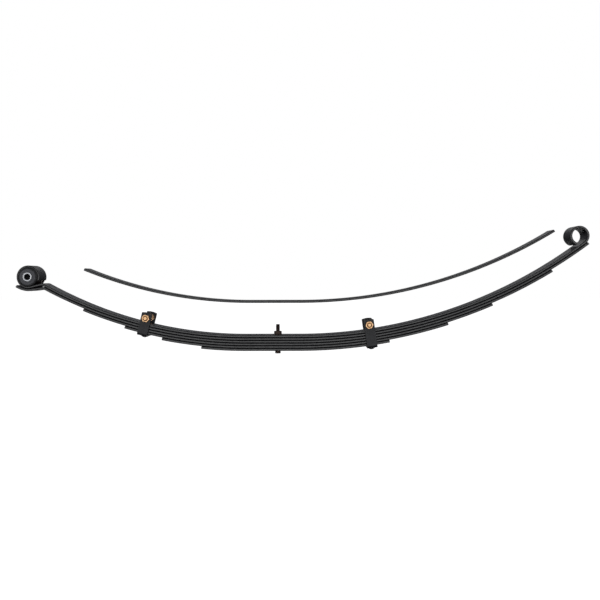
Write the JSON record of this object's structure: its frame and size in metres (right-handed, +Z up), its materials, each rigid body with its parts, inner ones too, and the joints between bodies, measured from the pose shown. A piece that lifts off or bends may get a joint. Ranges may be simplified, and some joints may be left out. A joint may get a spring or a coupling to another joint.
{
  "type": "leaf spring",
  "caption": "Automotive leaf spring with upturned eyes, a rubber bush, riveted rebound clips, a centre bolt and a loose add-on leaf above the pack.",
  "frame": {"origin": "axis of the centre bolt at the underside of the lowest leaf, where the spring sits on the axle", "axes": "+X along the spring to the open rear eye, -X to the bushed front eye, +Y across the leaves, +Z up from the axle seat to the eyes"},
  "size_m": [1.4371, 0.0949, 0.3204],
  "materials": {
    "leaf_paint": "semi-gloss black paint on spring steel",
    "clip_paint": "satin black paint on mild steel",
    "dark_steel": "dark phosphated steel",
    "bright_zinc": "bright zinc plate",
    "yellow_zinc": "yellow passivated zinc plate",
    "bush_rubber": "matt moulded rubber"
  },
  "bodies": {
    "pack": {"main_leaf": "leaf_paint", "second_leaf": "leaf_paint", "third_leaf": "leaf_paint", "fourth_leaf": "leaf_paint", "fifth_leaf": "leaf_paint", "sixth_leaf": "leaf_paint", "centre_bolt": "dark_steel", "centre_nut": "dark_steel", "front_bush_outer_shell": "dark_steel", "front_bush_rubber": "bush_rubber", "front_clip_strap": "clip_paint", "front_clip_rivet": "clip_paint", "front_clip_bolt": "yellow_zinc", "front_clip_nut": "yellow_zinc", "front_clip_spacer": "yellow_zinc", "rear_clip_strap": "clip_paint", "rear_clip_rivet": "clip_paint", "rear_clip_bolt": "yellow_zinc", "rear_clip_nut": "yellow_zinc", "rear_clip_spacer": "yellow_zinc"},
    "front_sleeve": {"front_bush_inner_sleeve": "bright_zinc"},
    "add_on_leaf": {"add_on_leaf": "leaf_paint"}
  },
  "joints": [
    {"name": "front_sleeve_twist", "type": "hinge", "parent": "pack", "child": "front_sleeve", "pos_m": [-0.624, 0, 0.18624], "axis": [0, 1, 0], "range_deg": [-20, 20], "stiffness_Nm_per_rad": 80},
    {"name": "add_on_leaf_lift", "type": "slide", "parent": "pack", "child": "add_on_leaf", "axis": [0, 0, 1], "range_m": [-0.0575, 0.1]}
  ]
}
